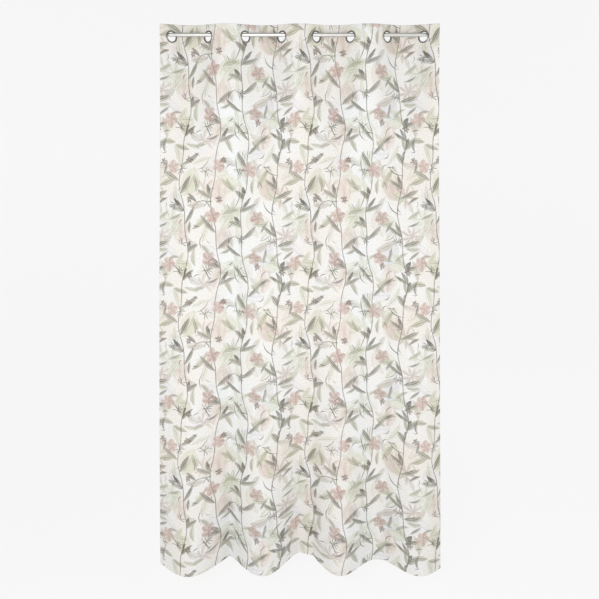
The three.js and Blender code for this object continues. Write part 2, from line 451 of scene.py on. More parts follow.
@dataclass(frozen=True)
class Motifs:
    """The node groups that draw the motifs of the print. Widths are shares of the repeat.

    A pair of numbers is the least and the most of what is drawn by chance, and an uneven_ number
    is the width of such a range about 0.
    """

    rim_width: float = 0.010
    rib_width: float = 0.0045
    rim_on_light_side: float = 0.4
    rim_on_dark_side: float = 0.6
    comb: tuple = (7.0, 62.0, 0.0)
    dark_side_tone: float = 0.24
    leaf_lengths: tuple = (0.78, 1.12)
    leaf_widths: tuple = (0.8, 1.15)
    petal_lengths: tuple = (0.66, 1.0)
    uneven_petal: float = 0.16
    heart_share: float = 0.2
    seed_shift: tuple = (0.37, 0.61)
    quick_sway: float = 0.3
    quick_turns: float = 3.0
    quick_phase: float = 2.3
    right_side_start: float = 0.45
    seed_start: float = 0.29
    joint_height: float = 0.22
    uneven_joint: float = 0.02
    leans: tuple = (math.radians(15.0), math.radians(62.0))
    stem_leaf_lengths: tuple = (0.7, 1.1)
    leaf_pair: tuple = ((0.0, 1.0), (0.62, 0.86))
    paired_share: float = 0.7
    uneven_bend: float = 0.14
    stem_leaf_blunt: float = 0.8

    def noise_tree(self) -> Tree:
        """Noise that runs on without a seam from one repeat of the print to the next.

        Returns:
            A group that turns a place, in repeats, into a number and a small shift.
        """
        group = Group("repeat_noise", "Place Scale Detail", "Value Shift")
        place, scale, detail = group.given()
        radius = 1.0 / math.tau
        across, up, _ = group.split(group.scaled(place, math.tau))
        rings = [group.maths(wave, angle) * radius for angle in (across, up) for wave in ("COSINE", "SINE")]
        texture = group.soft_noise(group.join(*rings[:3]), "4D", W=rings[3], Scale=scale, Detail=detail)
        parts = group.add("ShaderNodeSeparateColor", Wire(group, texture.outputs["Color"]))
        shift = [Wire(group, part) - 0.5 for part in parts.outputs[:2]]
        return group.give(Value=Wire(group, texture.outputs["Fac"]), Shift=group.join(*shift))

    def leaf_tree(self) -> Tree:
        """A leaf or petal that lies along X from the origin, with a midrib and one darker side.

        Returns:
            A group that gives the leaf's mask, how far along it a place is, its lines and streaks.
        """
        group = Group("leaf_shape", "Place Length Width Bend Blunt Softness", "Mask " + SHADING)
        place, length, width, bend, blunt, softness = group.given()
        x, y, _ = group.split(place)
        along = group.ratio(x, length)
        hump = along * (4.0 - along * 4.0)
        curved = group.fused(hump * bend, length, y)
        off_line = group.maths("ABSOLUTE", curved)
        half = hump ** blunt * (width * 0.5)
        inside = half - off_line
        mask = group.ratio(inside, softness)
        rim = 1.0 - group.ratio(inside, self.rim_width)
        dark_side = group.maths("GREATER_THAN", curved, 0.0)
        rim = rim * group.fused(dark_side, self.rim_on_dark_side, self.rim_on_light_side)
        rib = 1.0 - group.ratio(off_line, self.rib_width)
        line = group.maths("MAXIMUM", rim, rib) * hump
        combed = group.vector("MULTIPLY", group.join(x, curved), self.comb)
        streak = group.fused(dark_side, self.dark_side_tone, group.grain(combed, 1.0, 1.0))
        return group.give(Mask=mask, Along=along, Line=line, Streak=streak - self.dark_side_tone / 2.0)

    def cell_tree(self) -> Tree:
        """Cuts the repeat into cells, and gives each its own centre, turn and random draws.

        Returns:
            A group that gives a place from the middle of its cell, turned, and the cell's draws.
        """
        group = Group("scatter_cell", CELL_INPUTS, "Local Draw First Second Third")
        place, cells, seed, jitter, turn, spread = group.given()
        shift = group.join(*(seed * share for share in self.seed_shift))
        spot = group.vector("MULTIPLY_ADD", place, cells, shift)
        cell = group.vector("FLOOR", spot)
        inside = group.vector("SUBTRACT", group.vector("SUBTRACT", spot, cell), (0.5, 0.5, 0.0))
        wrapped = group.vector("WRAP", cell, cells, (0.0, 0.0, 0.0))
        key = group.vector("ADD", wrapped, group.join(0.5, 0.5, seed))
        draw, first, second, third = group.chance(key)
        moved = group.scaled(group.join(first - 0.5, second - 0.5), jitter)
        local = group.vector("DIVIDE", group.vector("SUBTRACT", inside, moved), cells)
        angle = group.fused(draw - 0.5, spread, turn)
        return group.give(
            Local=group.turned(local, angle), Draw=draw, First=first, Second=second, Third=third
        )

    def scatter_tree(self, cell: Tree, leaf: Tree) -> Tree:
        """Leaves or loose petals, one in each kept cell of the repeat.

        Args:
            cell: The scatter_cell group.
            leaf: The leaf_shape group.

        Returns:
            A group that gives the leaf's mask and shading at a place, and the cell's tone.
        """
        inputs = CELL_INPUTS + " Share Length Width Bend Blunt Softness"
        group = Group("scattered_leaf", inputs, f"Mask {SHADING} Tone")
        placed = group.use(cell, **pick(group.inputs, CELL_INPUTS))
        share, length, width, bend, blunt, softness = group.given()[6:]
        local, draw, first, second, third = placed.values()
        grown = length * group.between(*self.leaf_lengths, third)
        back = group.join(grown * 0.5)
        way = second * 2.0 - 1.0
        shape = group.use(
            leaf,
            Place=group.vector("ADD", local, back),
            Length=grown,
            Width=width * group.between(*self.leaf_widths, first),
            Bend=way * bend,
            Blunt=blunt,
            Softness=softness,
        )
        kept = group.kept(draw, share)
        return group.give(Mask=shape["Mask"] * kept, Tone=first, **pick(shape, SHADING))

    def whorl_tree(self, cell: Tree, leaf: Tree) -> Tree:
        """Rounds of petals or leaves about a heart, one in each kept cell of the repeat.

        Args:
            cell: The scatter_cell group.
            leaf: The leaf_shape group.

        Returns:
            A group that gives the petals' mask and shading, the heart and the petal's tone.
        """
        inputs = CELL_INPUTS + " Share Petals Kept Length Width Blunt Softness"
        group = Group("whorl", inputs, f"Mask {SHADING} Heart Tone")
        placed = group.use(cell, **pick(group.inputs, CELL_INPUTS))
        share, petals, kept, length, width, blunt, softness = group.given()[6:]
        x, y, _ = group.split(placed["Local"])
        reach = group.vector("LENGTH", placed["Local"])
        angle = group.maths("ARCTAN2", y, x) / math.tau
        sector = (angle + 1.0) * petals
        number = group.maths("FLOOR", sector)
        swing = (sector - number - 0.5) * math.tau / petals
        petal = group.join(*(reach * group.maths(wave, swing) for wave in ("COSINE", "SINE")))
        key = group.join(group.maths("FLOORED_MODULO", number, petals), placed["Draw"], 0.5)
        draw, first, second, _ = group.chance(key)
        shape = group.use(
            leaf,
            Place=petal,
            Length=length * group.between(*self.petal_lengths, first),
            Width=width,
            Bend=(second - 0.5) * self.uneven_petal,
            Blunt=blunt,
            Softness=softness,
        )
        shown = group.kept(placed["Draw"], share)
        petal_shown = group.maths("LESS_THAN", draw, kept)
        mask = shape["Mask"] * shown * petal_shown
        heart = 1.0 - group.ratio(reach, length * self.heart_share)
        return group.give(Mask=mask, Heart=heart * shown, Tone=second, **pick(shape, SHADING))

    def stem_tree(self, leaf: Tree) -> Tree:
        """A thin swaying stem that runs up the repeat, with uneven leaves to both sides.

        Args:
            leaf: The leaf_shape group.

        Returns:
            A group that gives the leaves' mask and shading, the stem's mask and the leaf's tone.
        """
        inputs = "Place Across Sway Phase Joints Seed Share Length Width Thickness Softness"
        group = Group("leafed_stem", inputs, f"Mask {SHADING} Under Stem Tone")
        place, across, sway, phase, joints, seed, *_ = group.given()
        share, length, width, thickness, softness = group.given()[6:]
        x, y, _ = group.split(place)
        slow = group.maths("SINE", group.fused(y, math.tau, phase))
        quick_phase = group.fused(phase, self.quick_phase, 1.0)
        quick = group.maths("SINE", group.fused(y, self.quick_turns * math.tau, quick_phase))
        middle = group.fused(group.fused(quick, self.quick_sway, slow), sway, across)
        off = group.maths("WRAP", x - middle, 0.5, -0.5)
        away = group.maths("ABSOLUTE", off)
        right = group.maths("GREATER_THAN", off, 0.0)
        climbed = group.fused(y, joints, group.fused(right, self.right_side_start, seed * self.seed_start))
        joint = group.maths("FLOOR", climbed)
        up = (group.maths("FRACT", climbed) - self.joint_height) / joints
        key = group.join(group.maths("FLOORED_MODULO", joint, joints), group.maths("SIGN", off), seed)
        draw, first, second, third = group.chance(key)
        from_joint = group.join(away, up - (third - 0.5) * self.uneven_joint)
        lean = group.between(*self.leans, first)
        leaves = []
        for turn, size in self.leaf_pair:
            grown = group.between(*(size * length for length in self.stem_leaf_lengths), second)
            leaves.append(
                group.use(
                    leaf,
                    Place=group.turned(from_joint, lean + turn),
                    Length=length * grown,
                    Width=width * group.between(*self.leaf_widths, third),
                    Bend=(second - 0.5) * self.uneven_bend,
                    Blunt=self.stem_leaf_blunt,
                    Softness=softness,
                )
            )
        shape, other = leaves
        kept = group.kept(draw, share)
        stem = group.ratio(thickness - away, softness)
        paired = kept * group.maths("LESS_THAN", second, self.paired_share)
        return group.give(
            Mask=shape["Mask"] * kept,
            Under=other["Mask"] * paired,
            Stem=stem,
            Tone=first,
            **pick(shape, SHADING),
        )


@dataclass(frozen=True)
class Wash:
    """The colours of a motif, how strong its lines and streaks are, and how opaque it is."""

    pale: tuple
    deep: tuple
    drawn: float
    streaky: float
    opacity: float

    @staticmethod
    def tree() -> Tree:
        """Lays one motif's watercolour over what is below it.

        Returns:
            A group that takes a mask and its shading, a pale and a deep colour, and how wet it is.
        """
        inputs = f"Below Mask {SHADING} Tone Pigment Pale Deep Ink Drawn Streaky Opacity"
        group = Group("watercolour_wash", inputs, "Colour")
        below, mask, along, line, streak, tone, pigment, *finish = group.given()
        pale, deep, ink, drawn, streaky, opacity = finish
        # Pigment pools unevenly, each leaf has its own tone, and both fade towards the tip.
        pooled = group.fused(pigment, 1.1, group.fused(tone, 0.5, -0.42))
        faded = group.fused(along, -0.3, pooled + 0.25)
        depth = group.fused(streak - 0.5, streaky, faded, clamped=True)
        inked = line * group.fused(pigment, drawn, drawn * 0.4)
        colour = group.tint(group.tint(pale, deep, depth), ink, inked)
        worn = group.fused(streak - 0.5, streaky, 1.0, clamped=True)
        return group.give(Colour=group.tint(below, colour, mask * opacity * worn))


PALE_GREEN = Wash(linear(240, 240, 228), linear(220, 220, 200), 0.60, 0.9, 0.78)
CREAM = Wash(linear(243, 240, 233), linear(227, 222, 211), 0.55, 0.9, 0.70)
BEIGE = Wash(linear(235, 229, 221), linear(206, 198, 187), 0.60, 0.9, 0.75)
LILAC = Wash(linear(243, 242, 244), linear(228, 225, 228), 0.40, 0.8, 0.75)
BLUSH = Wash(linear(241, 230, 223), linear(216, 199, 189), 0.40, 1.7, 0.80)
DUSTY_PINK = Wash(linear(221, 197, 189), linear(190, 161, 153), 0.35, 1.3, 0.85)
GREY_LEAF = Wash(linear(212, 211, 198), linear(169, 167, 152), 1.4, 1.1, 0.92)
TAUPE_LEAF = Wash(linear(210, 203, 194), linear(168, 159, 150), 1.4, 1.1, 0.90)
SAGE = Wash(linear(225, 224, 206), linear(194, 193, 170), 1.0, 1.0, 0.85)
PLUM = Wash(linear(182, 168, 160), linear(132, 120, 113), 0.3, 0.6, 0.94)
TWIG = Wash(linear(100, 96, 90), linear(62, 58, 54), 0.2, 0.4, 0.95)
HEART = Wash(linear(206, 190, 180), linear(150, 132, 122), 0.2, 0.4, 0.6)


class Layer:
    """One layer of the print. Its sizes are shares of the repeat, and its angles are degrees."""

    def sizes(self) -> dict:
        """The layer's numbers, by the names of the inputs that they feed, with angles in radians."""
        values = {name.title(): value for name, value in vars(self).items() if not isinstance(value, Wash)}
        return values | {name: math.radians(values[name]) for name in ("Turn", "Spread") if name in values}


@dataclass(frozen=True)
class Scatter(Layer):
    """A layer of scattered leaves or loose petals."""

    cells: tuple
    seed: float
    length: float
    width: float
    wash: Wash
    share: float = 0.9
    jitter: float = 0.3
    turn: float = 90.0
    spread: float = 300.0
    bend: float = 0.12
    blunt: float = 1.0
    softness: float = 0.006

    def coats(self) -> dict:
        """The washes that are laid for it, by the mask that each one fills."""
        return {"Mask": self.wash}


@dataclass(frozen=True)
class Whorl(Layer):
    """A layer of petals or leaves set round hearts."""

    cells: tuple
    seed: float
    petals: float
    length: float
    width: float
    wash: Wash
    heart: Wash
    share: float = 0.9
    kept: float = 0.8
    jitter: float = 0.3
    turn: float = 0.0
    spread: float = 360.0
    blunt: float = 0.8
    softness: float = 0.006

    def coats(self) -> dict:
        """The washes that are laid for it, by the mask that each one fills."""
        return {"Mask": self.wash, "Heart": self.heart}


@dataclass(frozen=True)
class Stem(Layer):
    """A stem with its leaves."""

    across: float
    phase: float
    seed: float
    joints: float = 5.0
    sway: float = 0.030
    length: float = 0.148
    width: float = 0.036
    share: float = 0.72
    thickness: float = 0.0046
    softness: float = 0.0035
    wash: Wash = GREY_LEAF

    def coats(self) -> dict:
        """The washes that are laid for it, by the mask that each one fills."""
        return {"Under": SAGE, "Stem": TWIG, "Mask": self.wash}


LAYERS = (
    Scatter((3, 3, 1), 17.0, 0.21, 0.130, PALE_GREEN, share=1.0, spread=330.0),
    Scatter((3, 3, 1), 53.0, 0.21, 0.115, CREAM, share=1.0, spread=330.0),
    Scatter((3, 3, 1), 77.0, 0.21, 0.105, LILAC, share=0.7),
    Scatter((3, 3, 1), 55.0, 0.20, 0.150, BLUSH, share=0.8, spread=50.0, blunt=0.45, softness=0.03),
    Whorl((2, 3, 1), 12.0, 7.0, 0.14, 0.044, PALE_GREEN, BEIGE),
    Scatter((4, 4, 1), 51.0, 0.17, 0.052, BEIGE, share=0.8),
    Whorl((3, 3, 1), 70.0, 9.0, 0.115, 0.028, BLUSH, HEART, share=0.6),
    Scatter((4, 4, 1), 86.0, 0.15, 0.040, SAGE, share=0.8),
    Scatter((4, 4, 1), 85.0, 0.17, 0.050, PALE_GREEN, share=0.95, spread=160.0),
    Scatter((5, 4, 1), 9.0, 0.13, 0.034, SAGE, share=0.6, spread=160.0),
    Stem(across=0.08, phase=4.39, seed=42.0),
    Stem(across=0.33, phase=5.44, seed=47.0, joints=4.0, wash=TAUPE_LEAF),
    Stem(across=0.56, phase=0.45, seed=82.0),
    Stem(across=0.82, phase=6.04, seed=74.0, joints=6.0, length=0.14, share=0.6),
    Scatter((5, 5, 1), 5.0, 0.110, 0.030, TAUPE_LEAF, share=0.35, spread=160.0),
    Whorl((3, 3, 1), 61.0, 5.0, 0.064, 0.048, DUSTY_PINK, HEART, share=0.75, kept=1.0, blunt=0.5),
    Whorl((4, 4, 1), 54.0, 6.0, 0.034, 0.019, PLUM, CREAM, share=0.75, kept=1.0, blunt=0.5),
    Whorl((4, 4, 1), 28.0, 11.0, 0.065, 0.0075, TWIG, TWIG, share=0.6, kept=0.5, softness=0.003),
    Scatter((4, 4, 1), 23.0, 0.16, 0.0085, TWIG, share=0.8, spread=140.0, bend=0.3, softness=0.003),
    Scatter((8, 8, 1), 3.0, 0.07, 0.0075, TWIG, share=0.6, spread=300.0, bend=0.3, softness=0.003),
)


@dataclass(frozen=True)
class LeafPrint:
    """The printed pattern of leaves, stems and blossoms on a ground with soft stains.

    repeat is the side of the square repeat in metres. A noise is its scale and its detail, and a
    ramp is what a value is multiplied by and what is then added. The whole print drifts between
    cool and warm, and has fine speckles, so many to a metre. tie makes each layer's place depend,
    by far less than can be seen, on the colour below it: so they are worked out one after the
    other, where all at once would overrun the renderer's memory for a material.
    """

    repeat: float = 0.64
    ground: tuple = linear(247, 246, 245)
    stain: tuple = linear(242, 238, 232)
    ink: tuple = linear(92, 88, 82)
    cool: tuple = linear(251, 254, 255)
    warm: tuple = linear(254, 252, 249)
    edge_noise: tuple = (26.0, 2.0)
    blot_noise: tuple = (11.0, 3.0)
    stain_noise: tuple = (3.0, 2.0)
    blot_ramp: tuple = (2.0, -0.5)
    stain_ramp: tuple = (2.4, -0.8)
    warmth_ramp: tuple = (3.0, 0.5)
    wobble: float = 0.010
    speckles: float = 170.0
    speckle_depth: float = 0.34
    tie: tuple = (1e-7, 1e-7, 0.0)

    def build(self) -> Tree:
        """Builds the whole print.

        Returns:
            A group that turns a place on the flat cloth, in metres, into the printed colour.
        """
        motifs = Motifs()
        leaf, cell = motifs.leaf_tree(), motifs.cell_tree()
        trees = {
            Scatter: motifs.scatter_tree(cell, leaf),
            Whorl: motifs.whorl_tree(cell, leaf),
            Stem: motifs.stem_tree(leaf),
        }
        uneven, wash_tree = motifs.noise_tree(), Wash.tree()
        group = Group("leaf_print", "Place", "Colour")
        (metres,) = group.given()
        place = group.scaled(metres, 1.0 / self.repeat)
        edges = group.use(uneven, Place=place, **named("Scale Detail", self.edge_noise))
        warped = group.vector("ADD", group.scaled(edges["Shift"], self.wobble), place)
        blots = group.use(uneven, Place=place, **named("Scale Detail", self.blot_noise))
        pigment = group.fused(blots["Value"], *self.blot_ramp, clamped=True)
        stains = group.use(uneven, Place=place, **named("Scale Detail", self.stain_noise))
        stained = group.fused(stains["Value"], *self.stain_ramp, clamped=True)
        drift, _, _ = group.split(stains["Shift"])
        tinge = group.tint(self.cool, self.warm, group.fused(drift, *self.warmth_ramp, clamped=True))
        colour = group.tint(self.ground, self.stain, stained)
        for layer in LAYERS:
            shape = group.use(trees[type(layer)], Place=warped, **layer.sizes())
            for mask, wash in layer.coats().items():
                values = {"Below": colour, "Mask": shape[mask], "Tone": shape["Tone"], "Ink": self.ink}
                values |= {name.title(): value for name, value in vars(wash).items()}
                shading = {} if mask in ("Stem", "Heart") else pick(shape, SHADING)
                colour = group.use(wash_tree, **values, Pigment=pigment, **shading)["Colour"]
            warped = group.vector("MULTIPLY_ADD", colour, self.tie, warped)
        speckle = group.grain(metres, self.speckles, 1.0)
        grained = group.fused(speckle, self.speckle_depth, 1.0 - self.speckle_depth / 2.0)
        tinge = group.shaded(tinge, grained)
        return group.give(Colour=group.tint(colour, tinge, 1.0, "MULTIPLY"))


def brushed_tree(smudge_scale: float = 60.0) -> Tree:
    """Fine brushed lines and faint smudges on steel.

    Args:
        smudge_scale: The number of smudges to a metre.

    Returns:
        A group that gives uneven streaks and smudges for a place in metres.
    """
    group = Group("brushed_steel", "Place Stretch", "Streaks Smudges")
    place, stretch = group.given()
    lines = group.grain(group.vector("MULTIPLY", place, stretch), 1.0, 3.0, "3D")
    return group.give(Streaks=lines, Smudges=group.grain(place, smudge_scale, 3.0, "3D"))


class Finish(Bench):
    """A new material's node tree, with its shader."""

    def __init__(self, name: str) -> None:
        """Makes the plain material."""
        self.material = bpy.data.materials.new(name)
        self.material.use_nodes = True
        super().__init__(self.material.node_tree)
        self.shader = self.tree.nodes["Principled BSDF"]

    def object_place(self) -> Wire:
        """Gives the place on the piece, in metres."""
        return Wire(self, self.add("ShaderNodeTexCoord").outputs["Object"])

    def shade(self, values: dict) -> None:
        """Feeds the shader's inputs by name."""
        self.feed_named(self.shader, values)

    def emboss(self, height: Wire, strength: float, relief: float) -> None:
        """Adds a bump.

        Args:
            height: The height over the surface, from 0 to 1.
            strength: How much of it shows.
            relief: How deep it is, in metres.
        """
        bump = self.add("ShaderNodeBump")
        self.feed_named(bump, {"Strength": strength, "Distance": relief, "Height": height})
        self.shade({"Normal": Wire(self, bump.outputs[0])})


@dataclass(frozen=True)
class ClothFinish:
    """The cloth's two faces: the printed one, and the reverse where the print shows through."""

    pitch: float = 0.9 * MM
    roughness: float = 0.88
    sheen: float = 0.08
    relief: float = 0.25 * MM
    bump: float = 0.38
    specular: float = 0.25
    sheen_roughness: float = 0.6
    show_through: float = 0.42
    lightness: float = 0.738
    slub_stretches: tuple = ((90.0, 900.0, 0.0), (900.0, 60.0, 0.0))
    slub_height: float = 1.2
    thread_height: float = 0.35
    slub_tone: float = 0.10
    slub_roughness: float = 0.08
    bare: tuple = linear(240, 237, 231)

    def weave_tree(self) -> Tree:
        """A plain weave with uneven threads.

        Returns:
            A group that gives the threads' height and a faint shade at a place in metres.
        """
        group = Group("plain_weave", "Place Pitch", "Height Shade")
        place, pitch = group.given()
        x, y, _ = group.split(place)
        turns = [way * math.pi / pitch for way in (x, y)]
        warp, weft = (group.maths("SINE", turn) for turn in turns)
        over = warp * weft
        along, across = (
            group.grain(group.vector("MULTIPLY", place, stretch), 1.0, 2.0)
            for stretch in self.slub_stretches
        )
        slub = (along + across) * 0.5
        height = group.fused(over, self.thread_height, slub * self.slub_height)
        return group.give(Height=height, Shade=slub)

    def material(self, face: Face, pattern: Tree,
                 weave: Tree) -> Material:
        """Makes the material of one face.

        Args:
            face: Which side of the cloth it is for.
            pattern: The print's group.
            weave: The weave's group.

        Returns:
            The material.
        """
        finish = Finish("cloth_" + face.name.lower())
        place = Wire(finish, finish.add("ShaderNodeUVMap", uv_map=Cloth.MAP_NAME).outputs[0])
        printed = finish.use(pattern, Place=place)["Colour"]
        threads = finish.use(weave, Place=place, Pitch=self.pitch)
        if face is Face.REVERSE:
            printed = finish.tint(self.bare, printed, self.show_through)
        shade = finish.fused(threads["Shade"], self.slub_tone, self.lightness)
        finish.shade({
            "Base Color": finish.shaded(printed, shade),
            "Roughness": finish.fused(
                threads["Shade"], self.slub_roughness, self.roughness - self.slub_roughness / 2.0
            ),
            "Specular IOR Level": self.specular,
            "Sheen Weight": self.sheen,
            "Sheen Roughness": self.sheen_roughness,
        })
        finish.emboss(threads["Height"], self.bump, self.relief)
        return finish.material


@dataclass(frozen=True)
class ThreadFinish:
    """The off-white sewing thread."""

    light: tuple = linear(240, 237, 230)
    dark: tuple = linear(214, 210, 202)
    twist_scale: float = 900.0

    def material(self) -> Material:
        """Makes the thread's material, with its twist as a fine change of tone.

        Returns:
            The material.
        """
        finish = Finish("sewing_thread")
        twist = finish.grain(finish.object_place(), self.twist_scale, 2.0, "3D")
        finish.shade({"Base Color": finish.tint(self.dark, self.light, twist), "Roughness": 0.75})
        return finish.material


@dataclass(frozen=True)
class SteelFinish:
    """Satin steel with brushed lines."""

    name: str
    light: tuple
    dark: tuple
    roughness: float
    stretch: tuple
    unevenness: float = 0.16
    bump: float = 0.15
    relief: float = 0.05 * MM

    def material(self, brushed: Tree) -> Material:
        """Makes the steel's material.

        Args:
            brushed: The brushed_steel group.

        Returns:
            The material.
        """
        finish = Finish(self.name)
        marks = finish.use(brushed, Place=finish.object_place(), Stretch=self.stretch)
        finish.shade({
            "Base Color": finish.tint(self.dark, self.light, marks["Smudges"]),
            "Roughness": finish.fused(
                marks["Streaks"], self.unevenness, self.roughness - self.unevenness / 2.0
            ),
            "Metallic": 1.0,
        })
        finish.emboss(marks["Streaks"], self.bump, self.relief)
        return finish.material


ROD_STEEL = SteelFinish(
    "rod_steel", linear(222, 222, 219), linear(206, 206, 203), 0.46, (12.0, 900.0, 900.0)
)
EYELET_STEEL = SteelFinish(
    "eyelet_steel", linear(146, 144, 141), linear(114, 112, 109), 0.24, (300.0, 300.0, 300.0)
)


@dataclass
class FaceList:
    """The cloth's faces, with each corner's place on the flat cloth and each face's slot."""

    corners: list = field(default_factory=list)
    places: list = field(default_factory=list)
    slots: list = field(default_factory=list)

    def add(self, corners: list, places: list, face: Face) -> None:
        """Adds one face.

        Args:
            corners: The numbers of its points.
            places: Their places on the flat cloth.
            face: The side of the cloth that shows there.
        """
        self.corners.append(corners)
        self.places.extend(places)
        self.slots.append(face.value)


@dataclass
class Cloth:
    """The curtain's cloth, hung in its folds, with turned hems and eight eyelet holes.

    In its methods, x is a place across the header and z a height, both in metres.
    """

    MAP_NAME = "flat_cloth"

    drop: float = 2.5
    top_rise: float = 0.043
    header_width: float = 1.204
    hem_width: float = 1.340
    flat_width: float = 1.430
    thickness: float = 0.0012
    heading_height: float = 0.110
    bottom_hem: float = 0.080
    side_hem: float = 0.018
    hem_step: float = 0.004
    soft_edge: float = 0.0015
    eyelet_drop: float = 0.0082
    hole_radius: float = 0.0219
    flank_slope: float = 0.8
    flank_reach: float = 0.022
    margin_wave: float = 0.160
    header_fade_end: float = -0.680
    folds_start: float = -0.110
    folds_full: float = -0.820
    swell_start: float = -0.900
    swell_power: float = 1.9
    body_ease: float = 0.012
    edge_sag: float = 0.15
    sag_start: float = 0.004
    wrinkle: float = 0.0012
    wrinkle_at_eyelets: float = 0.15
    wrinkle_fade: tuple = (0.02, 0.15)
    wrinkle_waves: tuple = ((1.0, 17.0, 2.2, 3.0), (0.35, 46.0, 9.0, 8.0))
    seam_inset: float = 0.0025
    seam_pull: float = 0.00035
    seam_width: float = 0.0022
    pucker: float = 0.35
    pucker_length: float = 0.017
    near_eyelet: float = 0.024
    wide_column: float = 0.0092
    close_column: float = 0.0037
    upper_end: float = -0.62
    seam_rows: float = 0.008
    rim_push: float = 0.45
    rounding: float = 1e-6

    @property
    def edge(self) -> float:
        """Half the header's width."""
        return self.header_width / 2.0

    @property
    def hem_z(self) -> float:
        """The height of the hem before it is drawn up."""
        return self.top_rise - self.drop

    @property
    def hem_top(self) -> float:
        """The height where the turned hem ends."""
        return self.hem_z + self.bottom_hem

    @property
    def heading_foot(self) -> float:
        """The height where the folded heading ends."""
        return self.top_rise - self.heading_height

    def header_depth(self, x: Array) -> Array:
        """The depth of the heading: straight flanks through the eyelets, round crests between.

        Args:
            x: Places across the header.

        Returns:
            The depths there, towards the back.
        """
        outer = (EYELET_PLACES[0] - self.margin_wave, EYELET_PLACES[-1] + self.margin_wave)
        ends = np.array([outer[0], *EYELET_PLACES, outer[1]])
        index = np.clip(np.searchsorted(ends[1:], x, side="left"), 0, len(ends) - 2)
        start, end = ends[index], ends[index + 1]
        side = np.where(index % 2 == 0, -1.0, 1.0)
        half = (end - start) / 2.0
        from_crest = np.abs(x - (start + end) / 2.0)
        round_reach = half - self.flank_reach
        crest = self.flank_slope * (self.flank_reach + round_reach / 2.0)
        rounded = crest - self.flank_slope / (2.0 * round_reach) * from_crest ** 2
        straight = self.flank_slope * (half - from_crest)
        return side * np.where(from_crest >= round_reach, straight, rounded)

    def along_folds(self, x: Array, column: str) -> Array:
        """A column of the fold table across the header, with round fronts and pinched backs.

        Args:
            x: Places across the header.
            column: The name of the table's column.

        Returns:
            The column's values at those places.
        """
        names = ("x", column, "hem", "pinch")
        places, values, hems, pinches = (np.array([getattr(fold, name) for fold in FOLDS]) for name in names)
        held = np.clip(x, places[0], places[-1])
        right = np.clip(np.searchsorted(places, held, side="left"), 1, len(places) - 1)
        left = right - 1
        share = (held - places[left]) / (places[right] - places[left])
        left_is_back = hems[left] > hems[right]
        back = np.where(left_is_back, left, right)
        front = np.where(left_is_back, right, left)
        from_back = np.where(left_is_back, share, 1.0 - share)
        round_shape = (1.0 - np.cos(np.pi * from_back)) / 2.0
        pinched_shape = np.sin(np.pi / 2.0 * from_back)
        return mix(values[back], values[front], mix(round_shape, pinched_shape, pinches[back]))

    def swell(self, z: Array) -> Array:
        """How far the folds have swollen from the middle's to the hem's."""
        share = (self.swell_start - z) / (self.swell_start - self.hem_z)
        return np.clip(share, 0.0, 1.0) ** self.swell_power

    def body_share(self, z: Array) -> Array:
        """How far the folds of the body have begun."""
        return smooth((self.folds_start - z) / (self.folds_start - self.folds_full))

    def depth(self, x: Array, z: Array) -> Array:
        """The depth of the cloth's middle surface, towards the back.

        Args:
            x: Places across the header.
            z: Heights.

        Returns:
            The depths there.
        """
        header_share = smooth((z - self.header_fade_end) / (self.heading_foot - self.header_fade_end))
        fold = mix(self.along_folds(x, "middle"), self.along_folds(x, "hem"), self.swell(z))
        trough = sum(t.depth * smooth(1.0 - np.abs(x - t.x) / t.half_width) for t in TROUGHS)
        return header_share * self.header_depth(x) + self.body_share(z) * (fold + trough)

    def points(self, x: Array, z: Array) -> Array:
        """Points of the cloth's middle surface.

        Args:
            x: Places across the header.
            z: Heights.

        Returns:
            The points, with their coordinates last.
        """
        down = np.clip((self.heading_foot - z) / (self.heading_foot - self.hem_z), 0.0, 1.0)
        ease = self.body_ease * self.body_share(z) * (1.0 - self.swell(z))
        spread = mix(1.0, self.hem_width / self.header_width, down) + ease
        above = smooth((z - self.sag_start) / (self.top_rise - self.sag_start))
        height = z + self.along_folds(x, "lift") * self.swell(z)
        height = height + self.edge_sag * above * self.header_depth(x)
        return np.stack([x * spread, self.depth(x, z), height], axis=-1)

    def backward(self, x: Array, z: Array) -> Array:
        """The unit directions to the back, at right angles to the cloth.

        Args:
            x: Places across the header.
            z: Heights.

        Returns:
            The directions, with their coordinates last.
        """
        across = self.points(x + PROBE, z) - self.points(x - PROBE, z)
        up = self.points(x, z + PROBE) - self.points(x, z - PROBE)
        normal = np.cross(up, across)
        return normal / np.linalg.norm(normal, axis=-1, keepdims=True)

    def ripples(self, x: Array, z: Array) -> Array:
        """Small uneven waves in the cloth, upright ones mostly, still at the eyelets.

        Args:
            x: Places across the header.
            z: Heights.

        Returns:
            How far the cloth is pushed to the back there, in metres.
        """
        waves = 0.0
        for share, across, up, seed in self.wrinkle_waves:
            wave = [noise.noise(Vector((a * across, b * up, seed))) for a, b in zip(x.flat, z.flat)]
            waves = waves + share * np.array(wave).reshape(x.shape)
        above, fade = self.wrinkle_fade
        below = smooth((self.heading_foot + above - z) / fade)
        return self.wrinkle * waves * mix(self.wrinkle_at_eyelets, 1.0, below)

    def seam_lines(self) -> list:
        """The rows of stitches, each as its place and whether that is across the cloth."""
        side = self.edge - self.side_hem + self.seam_inset
        level = (self.heading_foot + self.seam_inset, self.hem_top - self.seam_inset)
        return [*((line, False) for line in level), (-side, True), (side, True)]

    def seams(self, x: Array, z: Array) -> Array:
        """The pull of the rows of stitches.

        Args:
            x: Places across the header.
            z: Heights.

        Returns:
            How far both faces are pulled in there, in metres.
        """
        pull = 0.0
        for line, across in self.seam_lines():
            off, along = (x - line, z) if across else (z - line, x)
            uneven = 1.0 + self.pucker * np.sin(along * math.tau / self.pucker_length)
            pull = pull + self.seam_pull * uneven * np.exp(-((off / self.seam_width) ** 2))
        return pull

